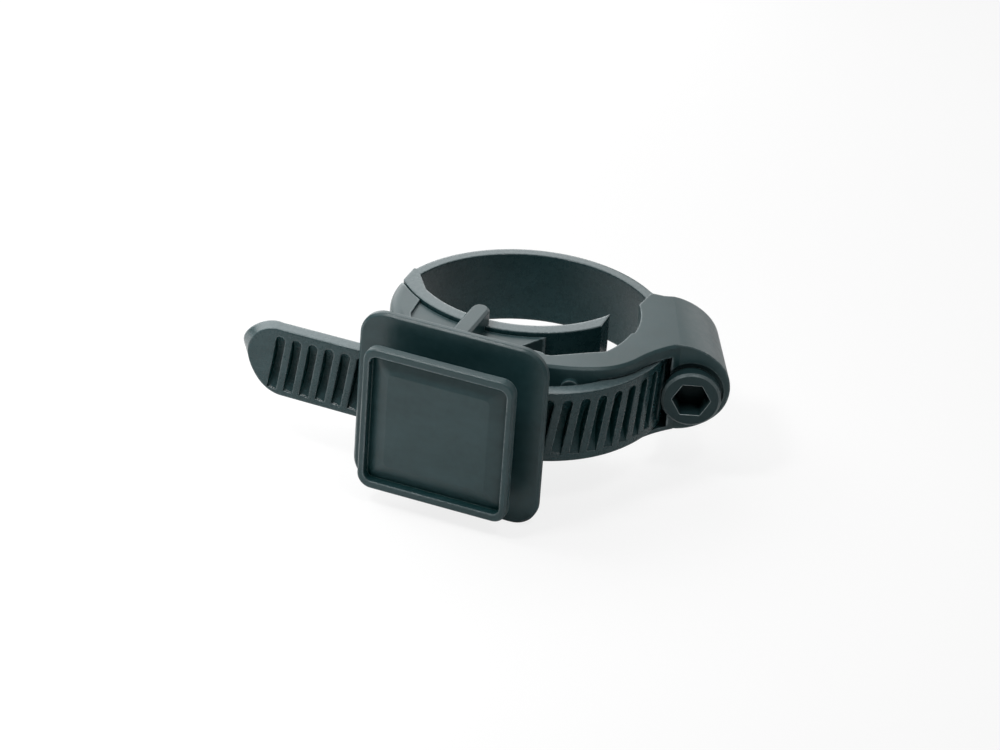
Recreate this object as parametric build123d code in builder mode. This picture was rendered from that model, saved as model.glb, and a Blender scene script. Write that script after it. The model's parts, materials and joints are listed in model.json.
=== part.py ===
from build123d import *
import os
from math import acos, asin, cos, degrees, floor, radians, sin, sqrt

os.makedirs("parts", exist_ok=True)

# Frame, in mm: Z is the axis of the bar that the loop closes on, -Y is the way the bag plate faces,
# X points to the worm housing. The origin is the centre of the strap's round back, at half its width.

# strap
BAR_R = 16.0  # inside of the strap's round back, for a 31.8 mm bar
STRAP_W = 9.15
BAND_T = 1.25  # plain back of the strap
TOOTH_T = 1.75  # slotted run of the strap
RAMP_A, RAMP_B = 44.0, 51.0  # where the slotted run thins to the plain back, degrees
BEND_STEP = 2.7  # how much tighter the bend before the tail is than the back
TAIL_STEP = 1.38  # how far inside the back's radius the tail runs
TAIL_L = 26.55  # straight tail, bend to tip
TAIL_RISE = 0.265  # rise of the tail's lower edge towards the tip
TIP_OUT, TIP_IN = 4.65, 6.05  # length of the rounded tip, outer and inner face
SHOULDER_A, BACK_A = 165.8, 163.0  # where the back ends, inner and outer face
ROOT_OUT = 0.8  # shoulder beyond the back's radius

# slots
SLOT_PITCH = 2.09
SLOT_W = 1.22
SLOT_EDGE = 0.875  # slot's end to the strap's edge
SLOT_END_D = 0.12  # depth left at a slot's ends, where its hollow floor comes up
SLOT_LEAN = 8.2
FIRST_SLOT = 0.92  # first slot beyond the straight tail

# tongue, the free inner finger of the strap
TONGUE_X = -4.5
TONGUE_Y = 2.25  # its inner face below the back's centre
TONGUE_STEP = 1.75  # how much tighter it is than the back
TONGUE_T = 1.7
TONGUE_IN_A, TONGUE_OUT_A = -25.3, -35.3  # slanted end, inner and outer face
ROOT_IN_A = -129.0
LUG_A, LUG_TOP = -116.0, 2.6
LUG_NECK, LUG_HEAD = 1.8, 3.2
LUG_L, LUG_HEAD_L = 1.15, 1.3

# bag plate
PLATE_X = -2.0
PLATE_GAP = 1.08  # tail's outer face to the flange
FLANGE_W, FLANGE_R, FLANGE_T = 23.5, 3.3, 1.15
NECK_W, NECK_R, NECK_L = 14.0, 1.4, 2.0
TAPER_L = 1.15  # undercut behind the lip
LIP_W, LIP_R, LIP_T = 18.8, 1.7, 1.15
RIM_X, RIM_Z = 0.8, 1.0  # rim of the tray, sides and ends
TRAY_SKIN = 0.05  # lip left under the tray's groove
PANEL_GAP, PANEL_D, PANEL_SLOPE = 0.15, 0.55, 2.1  # raised panel in the tray

# bracket body
SEAT_GAP = 0.2  # tongue to saddle
CLEAR = 0.16  # round the strap in its channel
ROOF_T, FLOOR_T = 1.515, 0.765  # over and under the channel
BODY_IN, WING_IN = 0.475, 0.075  # saddle block and wing, in from the strap's edges
SADDLE_END = 3.4
WING_OUT, WING_R = 1.35, 1.3
BRIDGE_W, BRIDGE_D, BRIDGE_R = 16.8, 8.4, 1.2
ARM_STEP, ARM_LIP = 2.8, 2.45  # arm and its lip, inside the back's radius
ARM_END_IN, ARM_END_OUT = 31.0, 41.0  # slanted rear end of the arm, degrees
EDGE_R = 0.3
HOOK_X, HOOK_W, HOOK_T, HOOK_LAP, HOOK_GAP = -4.8, 2.3, 1.7, 0.2, 0.145
NUB_R, NUB_L = 1.1, 2.2
NUB_STEP, NUB_A, NUB_DOWN = 2.78, -44.7, 0.85  # inside the back's radius, round it, below the strap's edge

# worm screw
WORM_A = 20.7  # where the screw runs beside the strap
WORM_ROOT, WORM_OD, WORM_TURNS = 4.1, 5.9, 2.0
WORM_GAP = 0.15  # root to strap, and thread to bore
THREAD_ROOT_W, THREAD_CREST_W = 0.9, 0.46
SLOT_CLEAR = 0.6  # thread to the slots' floor
HEAD_D, HEAD_L, HEAD_GAP = 7.1, 1.6, 0.09
COLLAR_L, COLLAR_STEP, SEAT_D = 0.95, 0.15, 0.5  # thrust collar behind the head, and its seat
HEX_AF, HEX_DEPTH = 4.0, 3.0
JOURNAL_D, JOURNAL_GAP, JOURNAL_L = 2.6, 0.08, 1.3
HOUSE_REAR, REAR_WALL = -5.0, 1.0
MOUTH_GAP, MOUTH_D = 0.85, 1.8  # channel's mouth, beyond the strap's face and into the housing
CLIP_D, CLIP_T, CLIP_RIM, CLIP_GROOVE = 5.2, 0.4, 0.85, 0.35


def polar(radius, angle, centre=(0.0, 0.0)):
    return (
        centre[0] + radius * cos(radians(angle)),
        centre[1] + radius * sin(radians(angle)),
    )


# the strap's line: back, bend and tail
HALF_W = STRAP_W / 2
OUT_R = BAR_R + TOOTH_T
TAIL_Y = TAIL_STEP - BAR_R
TAIL_OUT_Y = TAIL_Y - TOOTH_T
BEND_R = BAR_R - BEND_STEP
BEND_Y = TAIL_Y + BEND_R
BEND_A = degrees(asin(-BEND_Y / BEND_STEP))
BEND_C = (BEND_STEP * cos(radians(BEND_A)), BEND_Y)
TAIL_END = BEND_C[0] - TAIL_L
TAIL_LOW = TAIL_RISE - HALF_W
ROOT_X = -BAR_R - ROOT_OUT
TONGUE_IN = BAR_R - TONGUE_STEP
TONGUE_OUT = TONGUE_IN + TONGUE_T
TONGUE_C = (TONGUE_X, TONGUE_IN - TONGUE_Y)
SADDLE_R = TONGUE_OUT + SEAT_GAP

# the bracket's levels
ROOF = HALF_W + CLEAR + ROOF_T
FLOOR = -HALF_W - CLEAR - FLOOR_T
BODY_H, WING_H = HALF_W - BODY_IN, HALF_W - WING_IN
FLANGE_BACK = PLATE_GAP - TAIL_OUT_Y
NECK_FROM = FLANGE_BACK + FLANGE_T
LIP_BACK = NECK_FROM + NECK_L + TAPER_L
PLATE_FRONT = LIP_BACK + LIP_T
BRIDGE_FRONT = -FLANGE_BACK - 0.05
BRIDGE_BACK = BRIDGE_FRONT + BRIDGE_D
BRIDGE_LEFT, BRIDGE_RIGHT = PLATE_X - BRIDGE_W / 2, PLATE_X + BRIDGE_W / 2

# the worm's own frame: Z runs out to the head, X to the strap
WORM_DIST = OUT_R + WORM_ROOT / 2 + WORM_GAP
SLOT_D = WORM_OD / 2 + OUT_R - WORM_DIST + SLOT_CLEAR
BORE_R = WORM_OD / 2 + WORM_GAP
axis = (sin(radians(WORM_A)), -cos(radians(WORM_A)), 0)
outward = (cos(radians(WORM_A)), sin(radians(WORM_A)), 0)
worm_at = (*polar(WORM_DIST, WORM_A), 0)
worm_plane = Plane(origin=worm_at, x_dir=tuple(-v for v in outward), z_dir=axis)


def clear_of_strap(radius):
    """How far along the worm a round part of this radius first clears the curved strap."""
    return sqrt(OUT_R**2 - (WORM_DIST - radius - HEAD_GAP) ** 2)


SHANK_FROM = clear_of_strap(WORM_OD / 2)
HEAD_BACK = clear_of_strap(HEAD_D / 2)
COLLAR_BACK = HEAD_BACK - COLLAR_L
HOUSE_FRONT = COLLAR_BACK + SEAT_D
HEAD_FRONT = HEAD_BACK + HEAD_L
BORE_FROM = HOUSE_REAR + REAR_WALL


def house_plane(along):
    at = tuple(p + along * a for p, a in zip(worm_at, axis))
    return Plane(origin=at, x_dir=outward, z_dir=axis)


# lengths along the slotted run, on its middle line, from the first slot
MID = TOOTH_T / 2
TAIL_RUN = TAIL_L + FIRST_SLOT
BEND_RUN = radians(90 - BEND_A) * (BEND_R + MID)


def back_run(angle):
    return TAIL_RUN + BEND_RUN + radians(angle + BEND_A) * (BAR_R + MID)


SLOT_COUNT = 1 + floor(back_run(RAMP_A - 2) / SLOT_PITCH)


def slot_place(run):
    """Point on the outer face of the slotted run, and the face's direction there."""
    if run <= TAIL_RUN:
        return (BEND_C[0] - TAIL_RUN + run, TAIL_OUT_Y), -90.0
    if run <= TAIL_RUN + BEND_RUN:
        angle = -90 + degrees((run - TAIL_RUN) / (BEND_R + MID))
        return polar(BEND_R + TOOTH_T, angle, BEND_C), angle
    angle = -BEND_A + degrees((run - TAIL_RUN - BEND_RUN) / (BAR_R + MID))
    return polar(OUT_R, angle), angle


def slot_face(run):
    """Plane on the outer face at a slot: X along the strap, Y up, Z outward."""
    (x, y), normal = slot_place(run)
    out = (cos(radians(normal)), sin(radians(normal)), 0)
    return Plane(origin=(x, y, 0), x_dir=(-out[1], out[0], 0), z_dir=out)


def tongue_angle(radius, x):
    return -degrees(acos((x - TONGUE_C[0]) / radius))


def lug_at(radius):
    return Location((*polar(radius, LUG_A, TONGUE_C), 0), (0, 0, LUG_A))


# one slot: leaning, with a floor hollowed to suit the round worm
slot_half = STRAP_W / 2 - SLOT_EDGE
slot_sag = SLOT_D - SLOT_END_D
slot_r = (slot_half**2 + slot_sag**2) / (2 * slot_sag)
slot_lift = 0.2  # the cut starts this far off the face
with BuildPart() as slot_cut:
    with BuildSketch(Plane.XY.offset(slot_lift)):
        with Locations(Location((0, 0, 0), (0, 0, -SLOT_LEAN))):
            with Locations((0, slot_half - SLOT_W / 2)):
                Circle(SLOT_W / 2)
            with Locations((0, -SLOT_W / 4)):
                Rectangle(SLOT_W, 2 * slot_half - SLOT_W / 2)
    extrude(amount=-(SLOT_D + slot_lift))
    with Locations((0, 0, slot_r - SLOT_D)):
        Cylinder(slot_r, STRAP_W, rotation=(0, 90, 0), mode=Mode.INTERSECT)

# strap: one flexible moulding, tongue, shoulder, round back, slotted run and tail
shoulder = polar(BAR_R, SHOULDER_A)
back_end = polar(BAR_R + BAND_T, BACK_A)
root_a = tongue_angle(TONGUE_OUT, ROOT_X)
with BuildPart() as strap:
    with BuildSketch():
        with BuildLine():
            CenterArc((0, 0), BAR_R, -BEND_A, SHOULDER_A + BEND_A)
            CenterArc(BEND_C, BEND_R, -90, 90 - BEND_A)
            Polyline(
                (BEND_C[0], TAIL_Y),
                (TAIL_END, TAIL_Y),
                (TAIL_END, TAIL_OUT_Y),
                (BEND_C[0], TAIL_OUT_Y),
            )
            CenterArc(BEND_C, BEND_R + TOOTH_T, -90, 90 - BEND_A)
            CenterArc((0, 0), OUT_R, -BEND_A, BEND_A + RAMP_A)
            Line(polar(OUT_R, RAMP_A), polar(BAR_R + BAND_T, RAMP_B))
            CenterArc((0, 0), BAR_R + BAND_T, RAMP_B, BACK_A - RAMP_B)
            Polyline(
                back_end,
                (ROOT_X, back_end[1] - 0.05),
                polar(TONGUE_OUT, root_a, TONGUE_C),
            )
            CenterArc(TONGUE_C, TONGUE_OUT, root_a, TONGUE_OUT_A - root_a)
            Line(
                polar(TONGUE_OUT, TONGUE_OUT_A, TONGUE_C),
                polar(TONGUE_IN, TONGUE_IN_A, TONGUE_C),
            )
            CenterArc(TONGUE_C, TONGUE_IN, ROOT_IN_A, TONGUE_IN_A - ROOT_IN_A)
            Line(polar(TONGUE_IN, ROOT_IN_A, TONGUE_C), shoulder)
        make_face()
    extrude(amount=HALF_W, both=True)
    # lower edge of the tail, then its rounded and bevelled tip
    with BuildSketch(Plane.XZ):
        with BuildLine():
            Polyline(
                (BEND_C[0], -HALF_W),
                (TAIL_END, TAIL_LOW),
                (TAIL_END, -STRAP_W),
                (BEND_C[0], -STRAP_W),
                close=True,
            )
        make_face()
    extrude(amount=-TAIL_OUT_Y + 1, mode=Mode.SUBTRACT)
    for depth, nose, step in ((-TAIL_Y, TIP_IN, 1.0), (-TAIL_OUT_Y, TIP_OUT, 0.4)):
        with BuildSketch(Plane.XZ.offset(depth)):
            with BuildLine():
                round_end = Spline(
                    (TAIL_END - step, HALF_W),
                    (TAIL_END - 0.73 * nose, 0.76 * HALF_W),
                    (TAIL_END - nose, 0.22 * HALF_W),
                    (TAIL_END - 0.35 * nose - 2.3, -0.385 * HALF_W),
                    (TAIL_END - 2.5, -0.76 * HALF_W),
                    (TAIL_END, TAIL_LOW),
                )
                Polyline(
                    round_end @ 1,
                    (TAIL_END + 0.45, TAIL_LOW),
                    (TAIL_END + 0.45, HALF_W),
                    round_end @ 0,
                )
            make_face()
    loft()
    # lug that locks the root into the bracket, entered from below
    with BuildSketch(Plane.XY.offset(-HALF_W)):
        with Locations(lug_at(TONGUE_OUT + LUG_L / 2)):
            Rectangle(LUG_L + 0.5, LUG_NECK)
        with Locations(lug_at(TONGUE_OUT + LUG_L + LUG_HEAD_L / 2)):
            Rectangle(LUG_HEAD_L, LUG_HEAD)
    extrude(amount=LUG_TOP + HALF_W)
    # blind slots for the worm
    with Locations(*(slot_face(k * SLOT_PITCH).location for k in range(SLOT_COUNT))):
        add(slot_cut.part, mode=Mode.SUBTRACT)
strap.part.label = "strap"
export_step(strap.part, "parts/strap.step")

# worm screw: head with hex socket, threaded worm, rear journal with clip groove
mesh_r = OUT_R - 0.4
lead = SLOT_PITCH * mesh_r / (BAR_R + MID)
mesh_slot = slot_place(floor(back_run(WORM_A) / SLOT_PITCH) * SLOT_PITCH)[1]
mesh_at = mesh_r * sin(radians(WORM_A - mesh_slot))
thread_from = mesh_at - lead * floor((mesh_at - BORE_FROM - 0.5) / lead)
with BuildPart() as worm_thread:
    with BuildLine() as worm_path:
        Helix(lead, WORM_TURNS * lead, WORM_ROOT / 2, center=(0, 0, thread_from))
    with BuildSketch(Plane(origin=(0, 0, thread_from), x_dir=(1, 0, 0), z_dir=(0, -1, 0))):
        with BuildLine():
            Polyline(
                (WORM_ROOT / 2 - 0.15, -THREAD_ROOT_W / 2),
                (WORM_OD / 2, -THREAD_CREST_W / 2),
                (WORM_OD / 2, THREAD_CREST_W / 2),
                (WORM_ROOT / 2 - 0.15, THREAD_ROOT_W / 2),
                close=True,
            )
        make_face()
    sweep(path=worm_path.line, is_frenet=True)

with BuildPart() as worm_screw:
    for back, front, diameter in (
        (HOUSE_REAR - JOURNAL_L, BORE_FROM + 0.2, JOURNAL_D),
        (BORE_FROM + 0.1, SHANK_FROM + 0.1, WORM_ROOT),
        (SHANK_FROM, COLLAR_BACK, WORM_OD),
        (COLLAR_BACK, HEAD_BACK, WORM_OD + 2 * COLLAR_STEP),
        (HEAD_BACK, HEAD_FRONT, HEAD_D),
    ):
        with BuildSketch(house_plane(back)):
            Circle(diameter / 2)
        extrude(amount=front - back)
    with Locations(worm_plane.location):
        add(worm_thread.part)
    head_rim = worm_screw.edges().filter_by(
        lambda e: e.geom_type == GeomType.CIRCLE and abs(e.radius - HEAD_D / 2) < 0.01
    )
    chamfer(head_rim, 0.3)
    with BuildSketch(house_plane(HEAD_FRONT)):
        RegularPolygon(HEX_AF / 2, 6, major_radius=False, rotation=0)
    extrude(amount=-HEX_DEPTH, mode=Mode.SUBTRACT)
    # groove for the retaining clip
    with BuildSketch(house_plane(HOUSE_REAR - 0.15 - CLIP_T)):
        Circle(JOURNAL_D)
        Circle(JOURNAL_D / 2 - CLIP_GROOVE, mode=Mode.SUBTRACT)
    extrude(amount=CLIP_T + 0.05, mode=Mode.SUBTRACT)
worm_screw.part.label = "worm_screw"
export_step(worm_screw.part, "parts/worm_screw.step")

# retaining clip: open spring ring on the rear journal
clip_in = JOURNAL_D / 2 - CLIP_GROOVE + 0.02
with BuildPart() as retaining_clip:
    with BuildSketch(house_plane(HOUSE_REAR - 0.12 - CLIP_T)):
        Circle(CLIP_D / 2)
        Circle(CLIP_D / 2 - CLIP_RIM, mode=Mode.SUBTRACT)
        for a in (0, 90, 180):
            with Locations(Location((*polar(CLIP_D / 4, a), 0), (0, 0, a))):
                Rectangle(CLIP_D / 2 - 0.2, 1.1)
        Circle(clip_in, mode=Mode.SUBTRACT)
        with Locations((0, -CLIP_D / 2)):
            Rectangle(2 * clip_in, CLIP_D, mode=Mode.SUBTRACT)
    extrude(amount=CLIP_T)
retaining_clip.part.label = "retaining_clip"
export_step(retaining_clip.part, "parts/retaining_clip.step")

# bracket: one moulding, bag plate, saddle block, hook, arm and worm housing
saddle_to = tongue_angle(SADDLE_R, SADDLE_END)
wing_from = tongue_angle(SADDLE_R, -BAR_R - WING_OUT)
wing_to = -122.6
on_bridge = (BRIDGE_LEFT + 1.4, BRIDGE_FRONT + 3.3)
with BuildPart() as saddle_block:
    with BuildSketch(Plane.XY.offset(-BODY_H)):
        with BuildLine():
            CenterArc(TONGUE_C, SADDLE_R, wing_to - 4, saddle_to - wing_to + 4)
            Polyline(
                polar(SADDLE_R, saddle_to, TONGUE_C),
                polar(SADDLE_R + 2.3, -70.7, TONGUE_C),
                (BRIDGE_RIGHT - 4.2, BRIDGE_BACK + 0.3),
                (BRIDGE_RIGHT - 1.9, BRIDGE_BACK - 0.1),
                (BRIDGE_RIGHT - 1.9, on_bridge[1]),
                on_bridge,
                polar(SADDLE_R + 7.35, -109.2, TONGUE_C),
                polar(SADDLE_R, wing_to - 4, TONGUE_C),
            )
        make_face()
    extrude(amount=2 * BODY_H)

with BuildPart() as wing:
    with BuildSketch(Plane.XY.offset(-WING_H)):
        with BuildLine():
            CenterArc(TONGUE_C, SADDLE_R, wing_from, wing_to - wing_from)
            Polyline(
                polar(SADDLE_R, wing_to, TONGUE_C),
                polar(SADDLE_R + 2.8, -116.3, TONGUE_C),
                polar(SADDLE_R + 6.2, -106.9, TONGUE_C),
                on_bridge,
            )
            shoulder_arc = ThreePointArc(
                polar(SADDLE_R, wing_from, TONGUE_C),
                polar(SADDLE_R + 2.41, -131.5, TONGUE_C),
                polar(SADDLE_R + 4.28, -121.6, TONGUE_C),
            )
            TangentArc(shoulder_arc @ 1, on_bridge, tangent=shoulder_arc % 1)
        make_face()
    extrude(amount=2 * WING_H)
    fillet(
        wing.edges().filter_by(
            lambda e: e.geom_type == GeomType.CIRCLE and abs(e.radius - SADDLE_R) > 0.01
        ),
        WING_R,
    )

hook_low = HALF_W + HOOK_GAP
hook_tip = HOOK_LAP - TONGUE_Y
saddle_low = TONGUE_C[1] - SADDLE_R
hook_root = saddle_low - 5.6
with BuildPart() as hook:
    with BuildSketch(Plane.XY.offset(hook_low)):
        with BuildLine():
            Polyline(
                (HOOK_X - HOOK_W / 2, hook_tip - HOOK_W / 2),
                (HOOK_X - HOOK_W / 2, hook_root),
                (HOOK_X + HOOK_W / 2, hook_root),
                (HOOK_X + HOOK_W / 2, hook_tip - HOOK_W / 2),
            )
            CenterArc((HOOK_X, hook_tip - HOOK_W / 2), HOOK_W / 2, 0, 180)
        make_face()
    extrude(amount=HOOK_T)
    chamfer(hook.faces().sort_by(Axis.Z)[-1].edges(), EDGE_R)
    with BuildSketch(Plane.XY.offset(BODY_H - 0.5)):
        with Locations((HOOK_X, (saddle_low + hook_root) / 2)):
            Rectangle(HOOK_W, saddle_low - hook_root - 0.1)
    extrude(amount=hook_low + 1 - BODY_H)

# where the arm's flat roof meets the slope of the worm housing
bore_seat = HEAD_D / 2 + 0.3
break_front = house_plane(HOUSE_FRONT).from_local_coords((-0.45 * bore_seat, 0, 0))
break_rear = house_plane(HOUSE_REAR + 0.35).from_local_coords((-0.774 * BORE_R, 0, 0))
with BuildPart() as arm:
    with BuildSketch(Plane.XY.offset(FLOOR)):
        with BuildLine():
            Polyline(
                (BRIDGE_RIGHT - 1.4, BRIDGE_FRONT + 5.5),
                (BRIDGE_RIGHT - 1.4, BRIDGE_BACK - 0.5),
                (BRIDGE_RIGHT + 0.3, BRIDGE_BACK - 0.2),
                polar(BAR_R - 3.68, -31.6),
                polar(BAR_R - ARM_STEP, -24),
            )
            CenterArc((0, 0), BAR_R - ARM_STEP, -24, 24)
            Line(polar(BAR_R - ARM_STEP, 0), polar(BAR_R - ARM_LIP, 1.5))
            CenterArc((0, 0), BAR_R - ARM_LIP, 1.5, ARM_END_IN - 1.5)
            Polyline(
                polar(BAR_R - ARM_LIP, ARM_END_IN),
                polar(BAR_R - 0.24, ARM_END_OUT),
                (break_rear.X, break_rear.Y),
                (break_front.X, break_front.Y),
            )
            hollow = ThreePointArc(
                (break_front.X, break_front.Y),
                polar(BAR_R + 1.71, -6.5),
                polar(BAR_R + 0.95, -17.15),
            )
            corner = TangentArc(hollow @ 1, polar(BAR_R - 0.38, -38.6), tangent=hollow % 1)
            TangentArc(
                corner @ 1, (BRIDGE_RIGHT - 1.4, BRIDGE_FRONT + 5.5), tangent=corner % 1
            )
        make_face()
    extrude(amount=ROOF - FLOOR)
    chamfer(
        arm.edges().filter_by(
            lambda e: e.geom_type == GeomType.CIRCLE
            and min(abs(e.radius - BAR_R + ARM_STEP), abs(e.radius - BAR_R + ARM_LIP)) > 0.01
        ),
        EDGE_R,
    )

with BuildPart() as bracket:
    # bag plate: flange, neck, undercut lip with a shallow tray
    with BuildSketch(Plane.XZ.offset(FLANGE_BACK)):
        with Locations((PLATE_X, 0)):
            RectangleRounded(FLANGE_W, FLANGE_W, FLANGE_R)
    extrude(amount=FLANGE_T)
    chamfer(
        bracket.edges().filter_by(lambda e: abs(e.center().Y - e.start_point().Y) < 0.01), EDGE_R
    )
    with BuildSketch(Plane.XZ.offset(NECK_FROM)):
        with Locations((PLATE_X, 0)):
            RectangleRounded(NECK_W, NECK_W, NECK_R)
    extrude(amount=NECK_L)
    for depth, side in ((NECK_FROM + NECK_L, NECK_W), (LIP_BACK, LIP_W - 0.6)):
        with BuildSketch(Plane.XZ.offset(depth)):
            with Locations((PLATE_X, 0)):
                RectangleRounded(side, side, NECK_R)
    loft()
    with BuildSketch(Plane.XZ.offset(LIP_BACK)):
        with Locations((PLATE_X, 0)):
            RectangleRounded(LIP_W, LIP_W, LIP_R)
    extrude(amount=LIP_T)
    chamfer(bracket.faces().sort_by(Axis.Y)[0].edges(), 0.2)
    tray_w, tray_h = LIP_W - 2 * RIM_X, LIP_W - 2 * RIM_Z
    with BuildSketch(Plane.XZ.offset(PLATE_FRONT)):
        with Locations((PLATE_X, 0)):
            RectangleRounded(tray_w, tray_h, 1.0)
    extrude(amount=TRAY_SKIN - LIP_T, mode=Mode.SUBTRACT)
    for depth, cut in ((LIP_BACK + TRAY_SKIN, 0), (PLATE_FRONT - PANEL_D, PANEL_SLOPE)):
        with BuildSketch(Plane.XZ.offset(depth)):
            with Locations((PLATE_X, 0)):
                RectangleRounded(
                    tray_w - 2 * (PANEL_GAP + cut), tray_h - 2 * (PANEL_GAP + cut), 0.6
                )
    loft()
    # saddle block, and the bridge that carries the plate round the strap
    add(saddle_block.part)
    add(wing.part)
    with BuildSketch(Plane.XY.offset(FLOOR)):
        with Locations((PLATE_X, (BRIDGE_FRONT + BRIDGE_BACK) / 2)):
            RectangleRounded(BRIDGE_W, BRIDGE_D, BRIDGE_R)
    extrude(amount=ROOF - FLOOR)
    add(hook.part)
    add(arm.part)
    # worm housing: its outline is set out in shares of the bore, the roof and the floor
    inner = BAR_R - WORM_DIST - 0.55
    outlines = (
        (
            HOUSE_REAR,
            BORE_R,
            (
                (-0.774, 1),
                (0.258, 0.785),
                (0.985, 0.36),
                (1.02, -0.327),
                (0.322, -0.7),
                (-0.774, -0.955),
            ),
        ),
        (
            HOUSE_FRONT,
            bore_seat,
            (
                (-0.45, 1),
                (0.468, 0.824),
                (1.085, 0.416),
                (1.07, -0.31),
                (0.39, -0.79),
                (-0.45, -0.95),
            ),
        ),
    )
    for along, wide, outline in outlines:
        with BuildSketch(house_plane(along)):
            with BuildLine():
                shell = Spline(*((n * wide, z * (ROOF if z > 0 else -FLOOR)) for n, z in outline))
                Polyline(shell @ 1, (inner, FLOOR), (inner, ROOF), shell @ 0)
            make_face()
    loft(ruled=True)
    # nub on the arm, behind the strap
    nub_at = (*polar(BAR_R - NUB_STEP, NUB_A), HALF_W - NUB_DOWN)
    with BuildSketch(Plane(origin=nub_at, z_dir=(0.3, -0.954, 0))):
        Circle(NUB_R)
    extrude(amount=NUB_L)
    # channel for the strap
    far_left = -BAR_R - 4
    with BuildSketch():
        with BuildLine():
            CenterArc((0, 0), BAR_R - CLEAR, -BEND_A, BEND_A + 62)
            CenterArc(BEND_C, BEND_R - CLEAR, -90, 90 - BEND_A)
            Polyline(
                (BEND_C[0], TAIL_Y + CLEAR),
                (far_left, TAIL_Y + CLEAR),
                (far_left, TAIL_OUT_Y - CLEAR),
                (BEND_C[0], TAIL_OUT_Y - CLEAR),
            )
            CenterArc(BEND_C, BEND_R + TOOTH_T + CLEAR, -90, 90 - BEND_A)
            CenterArc((0, 0), OUT_R + CLEAR, -BEND_A, BEND_A + 62)
            Line(polar(BAR_R - CLEAR, 62), polar(OUT_R + CLEAR, 62))
        make_face()
    extrude(amount=HALF_W + CLEAR, both=True, mode=Mode.SUBTRACT)
    # mouth of the channel beside the head, wider than the strap
    mouth_x = sqrt(OUT_R**2 - HOUSE_FRONT**2) - WORM_DIST + MOUTH_GAP
    with BuildSketch(house_plane(HOUSE_FRONT - MOUTH_D)):
        with Locations((mouth_x - MOUTH_GAP, 0)):
            Rectangle(2 * MOUTH_GAP, 2 * (HALF_W + CLEAR))
    extrude(amount=MOUTH_D + HEAD_FRONT - HOUSE_FRONT, mode=Mode.SUBTRACT)
    # worm's bore, seat for the head and hole for the rear journal
    for back, length, radius in (
        (BORE_FROM, HEAD_FRONT - BORE_FROM, BORE_R),
        (COLLAR_BACK - 0.05, 4, bore_seat),
        (HOUSE_REAR - 3, REAR_WALL + 3.1, JOURNAL_D / 2 + JOURNAL_GAP),
    ):
        with BuildSketch(house_plane(back)):
            Circle(radius)
        extrude(amount=length, mode=Mode.SUBTRACT)
    # pocket for the strap's lug, open below
    with BuildSketch(Plane.XY.offset(FLOOR - 1)):
        with Locations(lug_at(TONGUE_OUT + LUG_L / 2)):
            Rectangle(LUG_L + 0.7, LUG_NECK + 0.2)
        with Locations(lug_at(TONGUE_OUT + LUG_L + LUG_HEAD_L / 2)):
            Rectangle(LUG_HEAD_L + 0.2, LUG_HEAD + 0.2)
    extrude(amount=LUG_TOP + 0.1 - FLOOR + 1, mode=Mode.SUBTRACT)
bracket.part.label = "bracket"
export_step(bracket.part, "parts/bracket.step")
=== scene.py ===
"""Handlebar bag mount: nylon bracket and slotted strap, closed by a worm screw."""

from __future__ import annotations

import json
import logging
import math
from collections.abc import Mapping, Sequence
from dataclasses import dataclass
from enum import Enum
from typing import Any

import bmesh
import bpy
from mathutils import Matrix, Vector

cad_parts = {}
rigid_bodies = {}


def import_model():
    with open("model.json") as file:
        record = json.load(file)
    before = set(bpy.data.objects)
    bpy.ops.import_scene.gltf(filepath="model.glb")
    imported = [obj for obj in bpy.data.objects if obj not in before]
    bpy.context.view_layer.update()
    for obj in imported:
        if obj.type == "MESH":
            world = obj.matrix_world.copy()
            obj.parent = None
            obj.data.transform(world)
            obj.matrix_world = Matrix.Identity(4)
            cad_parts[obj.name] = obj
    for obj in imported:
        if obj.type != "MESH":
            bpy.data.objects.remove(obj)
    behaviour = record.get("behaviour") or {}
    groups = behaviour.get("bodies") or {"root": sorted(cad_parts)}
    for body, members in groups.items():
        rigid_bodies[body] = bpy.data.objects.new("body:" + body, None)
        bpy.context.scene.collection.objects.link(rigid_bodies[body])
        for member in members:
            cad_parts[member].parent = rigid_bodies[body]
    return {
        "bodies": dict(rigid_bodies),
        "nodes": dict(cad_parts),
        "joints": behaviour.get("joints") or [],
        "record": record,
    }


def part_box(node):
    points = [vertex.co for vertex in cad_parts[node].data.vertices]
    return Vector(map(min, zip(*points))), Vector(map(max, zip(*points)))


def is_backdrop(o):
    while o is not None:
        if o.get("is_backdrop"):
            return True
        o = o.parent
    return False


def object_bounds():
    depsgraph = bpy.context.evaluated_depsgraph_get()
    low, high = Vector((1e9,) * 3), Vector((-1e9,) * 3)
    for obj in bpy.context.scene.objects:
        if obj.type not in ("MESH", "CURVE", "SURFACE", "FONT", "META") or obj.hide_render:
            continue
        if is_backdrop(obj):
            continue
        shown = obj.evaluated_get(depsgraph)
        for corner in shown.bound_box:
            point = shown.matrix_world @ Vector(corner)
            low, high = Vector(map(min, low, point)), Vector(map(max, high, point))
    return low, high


log = logging.getLogger("bag_mount")

MM = 0.001
WHITE = (1.0, 1.0, 1.0)
Z_AXIS = (0.0, 0.0, 1.0)

RAYS = 8  # rays of each test for edges, hollows and softened corners
MIDDLE = 0.5  # the value that smooth noise varies about
# The rim and chamfer masks below carry painted highlights.
RIM_FROM, RIM_GAIN = 0.6, 2.5  # how square to Z a rim is, and how fast its mask rises
CHAMFER_SLOPE, CHAMFER_GAIN = math.sqrt(0.5), 5.0  # 45 degrees, and how fast it fades
# HOLLOW_SIGHT and HOLLOW_GAIN shape the mask of the shade painted into hollows.
HOLLOW_SIGHT, HOLLOW_GAIN = 0.62, 3.6  # open share at a hollow's mouth, and its gain

Colour = tuple[float, float, float]
Triple = tuple[float, float, float]
Number = int | float


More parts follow.
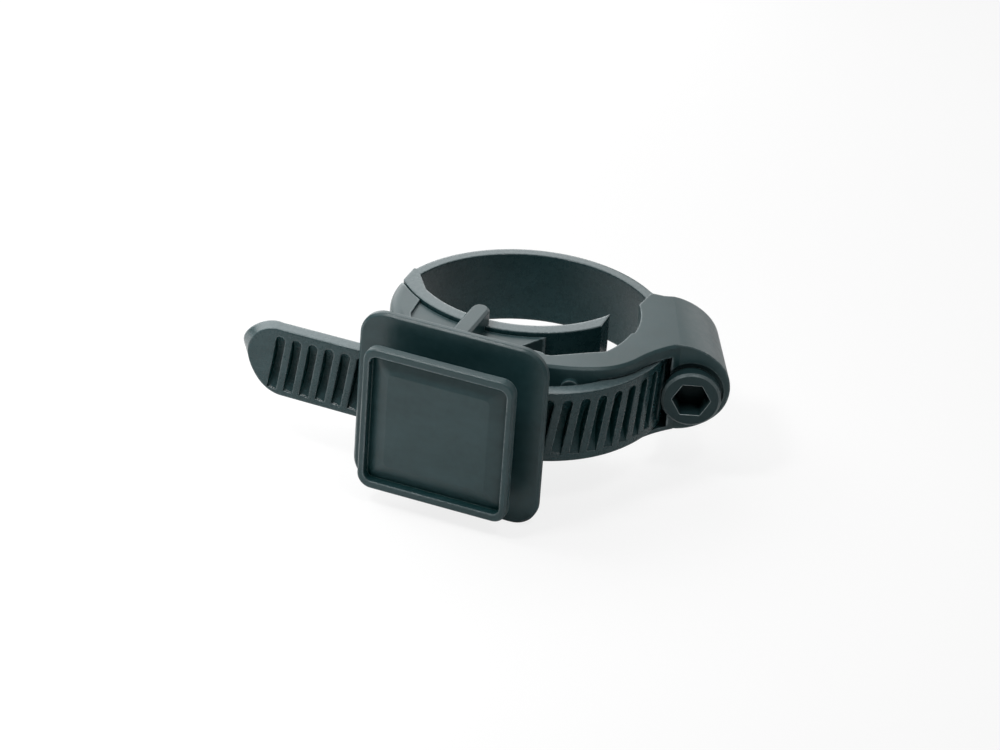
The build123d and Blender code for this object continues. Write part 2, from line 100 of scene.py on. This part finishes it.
class Signal:
    """One output socket of a shader graph. Arithmetic on it adds Math nodes."""

    def __init__(self, graph: Graph, socket: bpy.types.NodeSocket) -> None:
        """Wraps a socket.

        Args:
            graph: The graph that the socket's node belongs to.
            socket: The output socket.
        """
        self.graph = graph
        self.socket = socket

    def output(self, name: str) -> Signal:
        """Another output of the same node."""
        return Signal(self.graph, self.socket.node.outputs[name])

    def clamped(self) -> Signal:
        """The value held between 0 and 1."""
        return self.graph.node("ShaderNodeClamp", {}, {"Value": self})

    def __abs__(self) -> Signal:
        """The value without its sign."""
        return self.graph.math("ABSOLUTE", self)

    def __add__(self, other: Signal | Number) -> Signal:
        """The sum with another value."""
        return self.graph.math("ADD", self, other)

    def __radd__(self, other: Number) -> Signal:
        """The sum with a number on the left."""
        return self.graph.math("ADD", other, self)

    def __sub__(self, other: Signal | Number) -> Signal:
        """The difference from another value."""
        return self.graph.math("SUBTRACT", self, other)

    def __rsub__(self, other: Number) -> Signal:
        """A number less this value."""
        return self.graph.math("SUBTRACT", other, self)

    def __mul__(self, other: Signal | Number) -> Signal:
        """The product with another value."""
        return self.graph.math("MULTIPLY", self, other)

    def __rmul__(self, other: Number) -> Signal:
        """The product with a number on the left."""
        return self.graph.math("MULTIPLY", other, self)


SocketValue = Signal | Number | Sequence[float]


class Octaves(Enum):
    """How many finer layers a noise has."""

    SMOOTH = 2.0
    GRAINY = 3.0
    BROKEN = 4.0


class Graph:
    """A shader's node tree, filled in from Python expressions."""

    def __init__(self, tree: bpy.types.NodeTree) -> None:
        """Starts from an empty tree.

        Args:
            tree: The node tree of a material or a world.
        """
        self.tree = tree
        tree.nodes.clear()

    def node(
        self,
        kind: str,
        settings: Mapping[str, Any],
        sockets: Mapping[str, SocketValue],
        output: str | None = None,
    ) -> Signal:
        """Adds one node.

        Args:
            kind: The node's type.
            settings: Its own properties, which are set first.
            sockets: Values or links of its inputs, by identifier or name.
            output: The wanted output's name, or None for the first one in use.

        Returns:
            The wanted output, or the first input of a node that has no output.
        """
        made = self.tree.nodes.new(kind)
        for name, value in settings.items():
            setattr(made, name, value)
        inputs = [socket for socket in made.inputs if socket.enabled]
        for name, value in sockets.items():
            target = next(s for s in inputs if name in (s.identifier, s.name))
            if isinstance(value, Signal):
                self.tree.links.new(value.socket, target)
            elif target.type == "RGBA":
                target.default_value = (*value, 1.0)
            else:
                target.default_value = value
        if not made.outputs:
            return Signal(self, made.inputs[0])
        wanted = (s for s in made.outputs if s.enabled and output in (None, s.name))
        return Signal(self, next(wanted))

    def math(self, operation: str, *operands: Signal | Number) -> Signal:
        """Adds a Math node.

        Args:
            operation: The node's operation.
            operands: Its values, in order.

        Returns:
            The node's result.
        """
        sockets = dict(zip(("Value", "Value_001"), operands))
        return self.node("ShaderNodeMath", {"operation": operation}, sockets)

    def vector(self, operation: str, *operands: Signal | Sequence[float]) -> Signal:
        """Adds a Vector Math node.

        Args:
            operation: The node's operation.
            operands: Its vectors, in order.

        Returns:
            The node's result, a vector or a value.
        """
        sockets = dict(zip(("Vector", "Vector_001"), operands))
        return self.node("ShaderNodeVectorMath", {"operation": operation}, sockets)

    def mix(self, share: Signal, low: Signal | Colour, high: Signal | Colour) -> Signal:
        """Mixes two colours.

        Args:
            share: How much of the second colour there is.
            low: The first colour.
            high: The second colour.

        Returns:
            The mixed colour.
        """
        sockets = {"Factor_Float": share, "A_Color": low, "B_Color": high}
        return self.node("ShaderNodeMix", {"data_type": "RGBA"}, sockets)

    def blend(self, share: Signal, low: Signal, high: Signal) -> Signal:
        """Mixes two shaders.

        Args:
            share: How much of the second shader there is.
            low: The first shader.
            high: The second shader.

        Returns:
            The mixed shader.
        """
        sockets = {"Fac": share, "Shader": low, "Shader_001": high}
        return self.node("ShaderNodeMixShader", {}, sockets)

    def millimetres(self) -> Signal:
        """The point on the surface in the object's own frame, in mm."""
        point = self.node("ShaderNodeTexCoord", {}, {}, "Object")
        return self.vector("MULTIPLY", point, (1 / MM, 1 / MM, 1 / MM))

    def noise(self, point: Signal, per_mm: float, octaves: Octaves) -> Signal:
        """Smooth noise.

        Args:
            point: The place, in mm.
            per_mm: Cells per mm.
            octaves: How broken up it is.

        Returns:
            A value about the middle.
        """
        sockets = {"Vector": point, "Scale": per_mm, "Detail": octaves.value}
        return self.node("ShaderNodeTexNoise", {}, sockets)

    def relief(self, height: Signal, depth_mm: float, round_mm: float) -> Signal:
        """The normal of a skin with fine relief and softened edges.

        Args:
            height: The relief.
            depth_mm: The depth of a relief of height 1.
            round_mm: The radius that sharp edges seem to have.

        Returns:
            The normal.
        """
        radius = {"Radius": round_mm * MM}
        sockets = {
            "Strength": 1.0,
            "Distance": depth_mm * MM,
            "Height": height,
            "Normal": self.node("ShaderNodeBevel", {"samples": RAYS}, radius),
        }
        return self.node("ShaderNodeBump", {}, sockets)

    def sight(self, reach_mm: float, inside: bool) -> Signal:
        """How open the space at a point is, with no other piece counted.

        Args:
            reach_mm: How far off a wall may stand and still count.
            inside: True to look into the piece, False to look out of it.

        Returns:
            1 where no wall is met, and less where there are walls.
        """
        settings = {"samples": RAYS, "inside": inside, "only_local": True}
        distance = {"Distance": reach_mm * MM}
        return self.node("ShaderNodeAmbientOcclusion", settings, distance, "AO")

    def edge(self, reach_mm: float) -> Signal:
        """A mask that is highest at outer edges and fades out within the reach."""
        return (1.0 - self.sight(reach_mm, inside=True)).clamped()

    def hollow(self, reach_mm: float) -> Signal:
        """A mask of slots, sockets and tight corners where shade is painted, near 1 in a
        narrow slot.
        """
        sight = self.sight(reach_mm, inside=False)
        return (HOLLOW_GAIN * (HOLLOW_SIGHT - sight)).clamped()

    def facing(self, axis: Triple) -> Signal:
        """How far the surface faces along an axis of the object's own frame.

        Args:
            axis: The axis, of length 1.

        Returns:
            1 where it faces along the axis, 0 where it stands square to it.
        """
        normal = self.node("ShaderNodeTexCoord", {}, {}, "Normal")
        return self.vector("DOT_PRODUCT", normal, axis)

    def rims(self) -> Signal:
        """A mask of the faces square to the object's own Z axis."""
        return (RIM_GAIN * (abs(self.facing(Z_AXIS)) - RIM_FROM)).clamped()

    def chamfer(self, axis: Triple) -> Signal:
        """A mask of the chamfers at the front of a piece turned about an axis."""
        tilt = abs(self.facing(axis) - CHAMFER_SLOPE)
        return (1.0 - CHAMFER_GAIN * tilt).clamped()

    def paint_hollow_shade(self, skin: Signal, painted_shade: Colour, reach_mm: float) -> Signal:
        """Paints shade into a skin's hollows, making them matt and dark.

        Args:
            skin: The skin's own shader.
            painted_shade: The colour of the painted shade.
            reach_mm: How far off a hollow's walls may stand.

        Returns:
            The shader of the skin with shade painted in its hollows.
        """
        # A dark matt colour, laid as painted shade.
        painted_dark = self.node("ShaderNodeBsdfDiffuse", {}, {"Color": painted_shade})
        return self.blend(self.hollow(reach_mm), skin, painted_dark)

    def seen_directly(self, mirrored: float) -> Signal:
        """A mask of the rays that look straight at a backdrop.

        Args:
            mirrored: The share that glossy and transmission rays get.

        Returns:
            1 for camera rays, the share for glossy and transmission rays, else 0.
        """
        path = self.node("ShaderNodeLightPath", {}, {}, "Is Camera Ray")
        shiny = path.output("Is Glossy Ray") + path.output("Is Transmission Ray")
        return (path + mirrored * shiny).clamped()


class Finish:
    """A material made of nodes, which a piece wears in its first slot."""

    def shade(self, graph: Graph) -> Signal:
        """Builds the shader.

        Args:
            graph: The material's graph.

        Returns:
            The finished shader.
        """
        raise NotImplementedError

    def material(self, name: str) -> bpy.types.Material:
        """Makes the material.

        Args:
            name: Its name.

        Returns:
            The new material.
        """
        made = bpy.data.materials.new(name)
        made.use_nodes = True
        graph = Graph(made.node_tree)
        graph.node("ShaderNodeOutputMaterial", {}, {"Surface": self.shade(graph)})
        return made


@dataclass(frozen=True)
class MouldedNylon(Finish):
    """Dark nylon with the fine grain of its mould, edges painted a little paler as a
    highlight, and shade painted into its hollows.

    The roughness changes from left to right, between two places along X.
    """

    left_roughness: float
    right_roughness: float
    round_mm: float
    grain_mm: float
    gloss: float = 0.38
    edge_mm: float = 0.18
    # Share of painted highlight on the faces square to Z, such as a strap's rims.
    rim_highlight: float = 0.0
    deep: Colour = (0.0066, 0.028, 0.031)
    pale: Colour = (0.017, 0.047, 0.052)
    # Pale colour of the painted highlight on edges and rims.
    painted_highlight: Colour = (0.165, 0.210, 0.220)
    # Dark colour of the painted shade in slots and hollows.
    painted_shade: Colour = (0.0035, 0.026, 0.026)
    hollow_mm: float = 1.6
    left_mm: float = 2.0
    right_mm: float = 12.0
    flow_per_mm: float = 0.16
    flow_bands: Triple = (1.0, 1.0, 2.4)
    mottle_per_mm: float = 1.12
    grain_per_mm: float = 5.0
    speck_per_mm: float = 2.2
    flow_share: float = 0.7
    tone_contrast: float = 2.2
    # The next two numbers shape the painted edge highlight.
    highlight_from: float = 0.2
    highlight_gain: float = 2.8
    patch_from: float = 0.2
    patch_gain: float = 2.0
    rim_even: float = 0.4
    rim_specks: float = 1.2
    mottle_roughness: float = 0.14
    grain_roughness: float = 0.1
    worn_polish: float = 0.1

    def shade(self, graph: Graph) -> Signal:
        """Builds the shader.

        Args:
            graph: The material's graph.

        Returns:
            The finished shader.
        """
        point = graph.millimetres()
        banded = graph.vector("MULTIPLY", point, self.flow_bands)
        flow = graph.noise(banded, self.flow_per_mm, Octaves.BROKEN)
        mottle = graph.noise(point, self.mottle_per_mm, Octaves.SMOOTH)
        grain = graph.noise(point, self.grain_per_mm, Octaves.GRAINY)
        streaks = self.flow_share * flow + (1.0 - self.flow_share) * mottle
        tone = (self.tone_contrast * (streaks - MIDDLE) + MIDDLE).clamped()
        body = graph.mix(tone, self.deep, self.pale)
        # Mask of the painted highlight on edges and rims.
        wear = self.wear_and_highlight(graph, point)
        roughness = (
            self.moulded_roughness(graph, point)
            + self.mottle_roughness * (mottle - MIDDLE)
            + self.grain_roughness * (grain - MIDDLE)
            - self.worn_polish * wear
        )
        sockets = {
            # Body colour with the painted highlight laid over it.
            "Base Color": graph.mix(wear, body, self.painted_highlight),
            "Roughness": roughness,
            "Normal": graph.relief(grain, self.grain_mm, self.round_mm),
            "Specular IOR Level": self.gloss,
        }
        skin = graph.node("ShaderNodeBsdfPrincipled", {}, sockets)
        # Paints shade into the slots and hollows.
        return graph.paint_hollow_shade(skin, self.painted_shade, self.hollow_mm)

    def wear_and_highlight(self, graph: Graph, point: Signal) -> Signal:
        """Masks the painted highlight: paler edges in specks, and a strap's rims.

        Args:
            graph: The material's graph.
            point: The place, in mm.

        Returns:
            0 on plain skin, and up to 1 where the highlight is painted.
        """
        speck = graph.noise(point, self.speck_per_mm, Octaves.BROKEN)
        patches = (self.patch_gain * (speck - self.patch_from)).clamped()
        # Edges made paler in specks, as a painted highlight.
        edges = graph.edge(self.edge_mm) - self.highlight_from
        edge_highlights = (self.highlight_gain * edges * patches).clamped()
        if not self.rim_highlight:
            return edge_highlights
        specks = self.rim_even + self.rim_specks * speck
        return (edge_highlights + self.rim_highlight * graph.rims() * specks).clamped()

    def moulded_roughness(self, graph: Graph, point: Signal) -> Signal:
        """The roughness that the mould gives the skin.

        Args:
            graph: The material's graph.
            point: The place, in mm.

        Returns:
            The roughness, before grain and wear.
        """
        sockets = {
            "Value": graph.node("ShaderNodeSeparateXYZ", {}, {"Vector": point}, "X"),
            "From Min": self.left_mm,
            "From Max": self.right_mm,
            "To Min": self.left_roughness,
            "To Max": self.right_roughness,
        }
        settings = {"interpolation_type": "SMOOTHSTEP"}
        return graph.node("ShaderNodeMapRange", settings, sockets)


@dataclass(frozen=True)
class BlackenedSteel(Finish):
    """Oxide-black steel with the rings of a lathe tool, a painted highlight of bright
    metal at its edges, and painted shade in its hollows.
    """

    centre_mm: Triple
    axis: Triple
    edge_mm: float
    black: Colour = (0.010, 0.027, 0.030)
    # Paler oxide tone, laid at random by slow noise.
    wear_and_highlight: Colour = (0.016, 0.036, 0.039)
    # Bright metal colour of the painted highlight at edges and on the chamfer.
    glint_steel: Colour = (0.40, 0.46, 0.47)
    # Colour of the painted shade in the hex socket and other hollows.
    painted_shade: Colour = (0.001, 0.004, 0.004)
    gloss: float = 0.2
    roughness: float = 0.36
    hollow_mm: float = 3.0
    speck_per_mm: float = 3.0
    drift_per_mm: float = 0.35
    rings_per_mm: float = 5.5
    ring_drift_mm: float = 0.05
    relief_mm: float = 0.0035
    ring_relief: float = 0.7
    speck_relief: float = 0.6
    edge_from: float = 0.2
    edge_gain: float = 3.4
    edge_even: float = 0.3
    # Share of painted highlight in a ring on the head's chamfer.
    chamfer_highlight: float = 0.22
    chamfer_even: float = 0.2
    chamfer_specks: float = 1.2
    bare_metal: float = 0.9
    speck_roughness: float = 0.1
    ring_roughness: float = 0.06

    def shade(self, graph: Graph) -> Signal:
        """Builds the shader.

        Args:
            graph: The material's graph.

        Returns:
            The finished shader.
        """
        point = graph.millimetres()
        speck = graph.noise(point, self.speck_per_mm, Octaves.BROKEN)
        drift = graph.noise(point, self.drift_per_mm, Octaves.SMOOTH)
        rings = self.lathe_rings(graph, point, drift)
        oxide = graph.mix(drift, self.black, self.wear_and_highlight)
        # Mask of the painted highlight at edges and on the chamfer.
        wear = self.painted_highlight(graph, speck)
        height = self.ring_relief * rings + self.speck_relief * speck
        roughness = (
            self.roughness
            + self.speck_roughness * (speck - MIDDLE)
            + self.ring_roughness * rings
        )
        sockets = {
            # Oxide colour with the painted highlight laid over it.
            "Base Color": graph.mix(wear, oxide, self.glint_steel),
            "Roughness": roughness,
            "Metallic": self.bare_metal * wear,
            "Normal": graph.relief(height, self.relief_mm, self.edge_mm),
            "Specular IOR Level": self.gloss,
        }
        skin = graph.node("ShaderNodeBsdfPrincipled", {}, sockets)
        # Paints shade into the hex socket and other hollows.
        return graph.paint_hollow_shade(skin, self.painted_shade, self.hollow_mm)

    def lathe_rings(self, graph: Graph, point: Signal, drift: Signal) -> Signal:
        """Fine rings about the screw's axis.

        Args:
            graph: The material's graph.
            point: The place, in mm.
            drift: Slow noise that keeps the rings from being perfect.

        Returns:
            A wave between 0 and 1.
        """
        arm = graph.vector("SUBTRACT", point, self.centre_mm)
        across = graph.vector("CROSS_PRODUCT", arm, self.axis)
        radius = graph.vector("LENGTH", across)
        turns = radius + self.ring_drift_mm * drift
        wave = graph.math("SINE", 2 * math.pi * self.rings_per_mm * turns)
        return wave * MIDDLE + MIDDLE

    def painted_highlight(self, graph: Graph, speck: Signal) -> Signal:
        """Masks the painted highlight of bright metal at edges and on the head's chamfer.

        Args:
            graph: The material's graph.
            speck: The noise that breaks the wear up.

        Returns:
            0 on sound oxide, and up to 1 where the highlight is painted.
        """
        edges = self.edge_gain * (graph.edge(self.edge_mm) - self.edge_from)
        sharp = (edges * (self.edge_even + speck)).clamped()
        specks = self.chamfer_even + self.chamfer_specks * speck
        turned = self.chamfer_highlight * graph.chamfer(self.axis) * specks
        return (sharp + turned).clamped()


@dataclass(frozen=True)
class SpringSteel(Finish):
    """Tempered strip steel, straw-grey, with fine rolling lines across it."""

    edge_mm: float
    blue: Colour = (0.20, 0.21, 0.23)
    straw: Colour = (0.31, 0.29, 0.26)
    roughness: float = 0.33
    temper_per_mm: float = 0.5
    lines_per_mm: float = 9.0
    line_run: Triple = (0.08, 0.08, 1.0)
    line_mm: float = 0.003
    line_roughness: float = 0.15

    def shade(self, graph: Graph) -> Signal:
        """Builds the shader.

        Args:
            graph: The material's graph.

        Returns:
            The finished shader.
        """
        point = graph.millimetres()
        temper = graph.noise(point, self.temper_per_mm, Octaves.SMOOTH)
        drawn = graph.vector("MULTIPLY", point, self.line_run)
        lines = graph.noise(drawn, self.lines_per_mm, Octaves.GRAINY)
        sockets = {
            "Base Color": graph.mix(temper, self.blue, self.straw),
            "Roughness": self.roughness + self.line_roughness * (lines - MIDDLE),
            "Metallic": 1.0,
            "Normal": graph.relief(lines, self.line_mm, self.edge_mm),
        }
        return graph.node("ShaderNodeBsdfPrincipled", {}, sockets)


@dataclass(frozen=True)
class StudioPaper(Finish):
    """White paper that keeps a soft shadow and reads as white where it is seen."""

    white: Colour = (0.90, 0.90, 0.90)
    lift: float = 0.82
    mirrored: float = 0.06

    def shade(self, graph: Graph) -> Signal:
        """Builds the shader.

        Args:
            graph: The material's graph.

        Returns:
            The finished shader.
        """
        paper = graph.node("ShaderNodeBsdfDiffuse", {}, {"Color": self.white})
        glow = graph.node("ShaderNodeEmission", {}, {"Color": WHITE, "Strength": 1.0})
        return graph.blend(self.lift * graph.seen_directly(self.mirrored), paper, glow)


class Facets(Enum):
    """Largest angle between facets of one smooth surface, in degrees."""

    MOULDED = 32.0
    TURNED = 28.0


class Piece:
    """A CAD node that stays as it is and gets its finish here."""

    def __init__(self, frame: Mapping[str, Any], node: str) -> None:
        """Finds the node.

        Args:
            node: The node's name.
        """
        self.object: bpy.types.Object = frame["nodes"][node]

    def wear(self, finish: Finish, name: str) -> None:
        """Puts one material on the whole piece.

        Args:
            finish: The finish.
            name: The material's name.
        """
        self.object.data.materials.clear()
        self.object.data.materials.append(finish.material(name))

    def smooth(self, facets: Facets) -> None:
        """Shades curved faces smoothly and keeps the real edges.

        Args:
            facets: The angle up to which facets are one surface.
        """
        mesh = self.object.data
        mesh.shade_smooth()
        mesh.set_sharp_from_angle(angle=math.radians(facets.value))

    def report(self) -> None:
        """Logs the piece, its size and its number of faces."""
        low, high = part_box(self.object.name)
        size = " x ".join(f"{side / MM:.1f}" for side in high - low)
        faces = len(self.object.data.polygons)
        log.info("%s: %s mm, %d faces", self.object.name, size, faces)


@dataclass
class Bracket:
    """The moulded body: bag plate, saddle, hook, arm and worm housing."""

    frame: Mapping[str, Any]
    roughness: float = 0.35
    arm_roughness: float = 0.42
    # Reach of the painted edge highlight.
    edge_mm: float = 0.4
    round_mm: float = 0.2
    grain_mm: float = 0.003

    def build(self) -> list[Piece]:
        """Dresses the body.

        Returns:
            The body.
        """
        body = Piece(self.frame, "bracket")
        body.smooth(Facets.MOULDED)
        nylon = MouldedNylon(
            left_roughness=self.roughness,
            right_roughness=self.arm_roughness,
            round_mm=self.round_mm,
            grain_mm=self.grain_mm,
            edge_mm=self.edge_mm,
        )
        body.wear(nylon, "body_nylon")
        return [body]


@dataclass
class Strap:
    """The slotted strap with its tongue, tail and round back."""

    frame: Mapping[str, Any]
    gloss: float = 0.31
    roughness: float = 0.28
    # Share of painted highlight on the strap's faces square to Z.
    rim_highlight: float = 0.38
    round_mm: float = 0.36
    grain_mm: float = 0.0025

    def build(self) -> list[Piece]:
        """Dresses the strap.

        Returns:
            The strap.
        """
        strap = Piece(self.frame, "strap")
        strap.smooth(Facets.MOULDED)
        nylon = MouldedNylon(
            left_roughness=self.roughness,
            right_roughness=self.roughness,
            round_mm=self.round_mm,
            grain_mm=self.grain_mm,
            gloss=self.gloss,
            rim_highlight=self.rim_highlight,
        )
        strap.wear(nylon, "strap_nylon")
        return [strap]


@dataclass
class WormDrive:
    """The worm screw with its hex head, and the clip that keeps it in the housing."""

    frame: Mapping[str, Any]
    screw_edge_mm: float = 0.17
    clip_edge_mm: float = 0.06

    def build(self) -> list[Piece]:
        """Dresses the screw and the clip.

        Returns:
            The screw and the clip.
        """
        joint = next(j for j in self.frame["joints"] if j["child"] == "worm")
        centre = tuple(value / MM for value in joint["pos_m"])
        screw = Piece(self.frame, "worm_screw")
        screw.smooth(Facets.TURNED)
        steel = BlackenedSteel(centre, tuple(joint["axis"]), self.screw_edge_mm)
        screw.wear(steel, "blackened_steel")
        clip = Piece(self.frame, "retaining_clip")
        clip.wear(SpringSteel(self.clip_edge_mm), "spring_steel")
        return [screw, clip]


@dataclass(frozen=True)
class Softbox:
    """A square area light."""

    name: str
    at_mm: Triple
    faces: Triple
    side_mm: float
    watts: float
    spread_deg: float = 180.0

    def hang(self) -> None:
        """Hangs the light where the camera does not see it."""
        lamp = bpy.data.lights.new(self.name, "AREA")
        lamp.size = self.side_mm * MM
        lamp.energy = self.watts
        lamp.spread = math.radians(self.spread_deg)
        box = bpy.data.objects.new(self.name, lamp)
        box.location = Vector(self.at_mm) * MM
        box.rotation_mode = "QUATERNION"
        box.rotation_quaternion = Vector(self.faces).to_track_quat("-Z", "Y")
        box.visible_camera = False
        bpy.context.scene.collection.objects.link(box)


@dataclass
class Studio:
    """Paper floor, soft light and the camera at the photograph's angle."""

    floor_z: float
    floor_side: float = 6.0
    sky: float = 0.18
    mirrored: float = 0.4
    lights: tuple[Softbox, ...] = (
        Softbox(
            "key_softbox",
            at_mm=(-140.0, -40.0, 110.0),
            faces=(0.335, -0.47, -0.82),
            side_mm=120.0,
            watts=0.21,
            spread_deg=115.0,
        ),
        Softbox(
            "edge_softbox",
            at_mm=(-75.0, -110.0, 205.0),
            faces=(0.31, 0.45, -0.84),
            side_mm=40.0,
            watts=0.031,
            spread_deg=70.0,
        ),
        Softbox(
            "right_softbox",
            at_mm=(92.0, -82.0, 210.0),
            faces=(-0.37, 0.33, -0.84),
            side_mm=40.0,
            watts=0.012,
            spread_deg=60.0,
        ),
        Softbox(
            "rear_softbox",
            at_mm=(-116.0, 89.0, 76.0),
            faces=(0.297, -0.809, -0.507),
            side_mm=200.0,
            watts=0.275,
        ),
        Softbox(
            "rim_softbox",
            at_mm=(60.0, 230.0, 85.0),
            faces=(-0.2, -0.95, -0.3),
            side_mm=200.0,
            watts=0.15,
        ),
    )
    camera_at_mm: Triple = (147.2, -408.0, 251.92)
    camera_right: Triple = (0.923, 0.379, 0.063)
    camera_up: Triple = (-0.243, 0.450, 0.860)
    lens_mm: float = 150.71
    sensor_mm: float = 36.0

    def build(self) -> None:
        """Sets up the floor, the lights and the camera."""
        self.lay_floor()
        self.light_sky()
        for light in self.lights:
            light.hang()
        self.set_camera()
        bpy.context.scene.view_settings.view_transform = "Standard"

    def lay_floor(self) -> None:
        """Lays the paper under the lowest point of the object."""
        mesh = bpy.data.meshes.new("paper_floor")
        sheet = bmesh.new()
        half = self.floor_side / 2
        bmesh.ops.create_grid(sheet, x_segments=1, y_segments=1, size=half)
        sheet.to_mesh(mesh)
        sheet.free()
        floor = bpy.data.objects.new("paper_floor", mesh)
        floor.location.z = self.floor_z
        mesh.materials.append(StudioPaper().material("studio_paper"))
        bpy.context.scene.collection.objects.link(floor)
        floor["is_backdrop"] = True

    def light_sky(self) -> None:
        """Makes the dim surround, which is white where it is seen directly."""
        world = bpy.data.worlds.new("white_surround")
        world.use_nodes = True
        graph = Graph(world.node_tree)
        strength = self.sky + (1 - self.sky) * graph.seen_directly(self.mirrored)
        sockets = {"Color": WHITE, "Strength": strength}
        sky = graph.node("ShaderNodeBackground", {}, sockets)
        graph.node("ShaderNodeOutputWorld", {}, {"Surface": sky})
        bpy.context.scene.world = world

    def set_camera(self) -> None:
        """Stands the camera where the photograph was taken from."""
        lens = bpy.data.cameras.new("studio_camera")
        lens.lens = self.lens_mm
        lens.sensor_width = self.sensor_mm
        camera = bpy.data.objects.new("studio_camera", lens)
        right = Vector(self.camera_right).normalized()
        back = right.cross(Vector(self.camera_up)).normalized()
        up = back.cross(right)
        turn = Matrix((right, up, back)).transposed().to_4x4()
        camera.matrix_world = Matrix.Translation(Vector(self.camera_at_mm) * MM) @ turn
        bpy.context.scene.collection.objects.link(camera)
        bpy.context.scene.camera = camera


def main() -> None:
    """Loads the frame, dresses and reports each piece, and sets up the studio."""
    logging.basicConfig(level=logging.INFO, format="%(message)s")
    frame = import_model()
    cad_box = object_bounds()
    for assembly in (Bracket(frame), Strap(frame), WormDrive(frame)):
        for piece in assembly.build():
            piece.report()
    Studio(floor_z=cad_box[0].z).build()


if __name__ == "__main__":
    main()
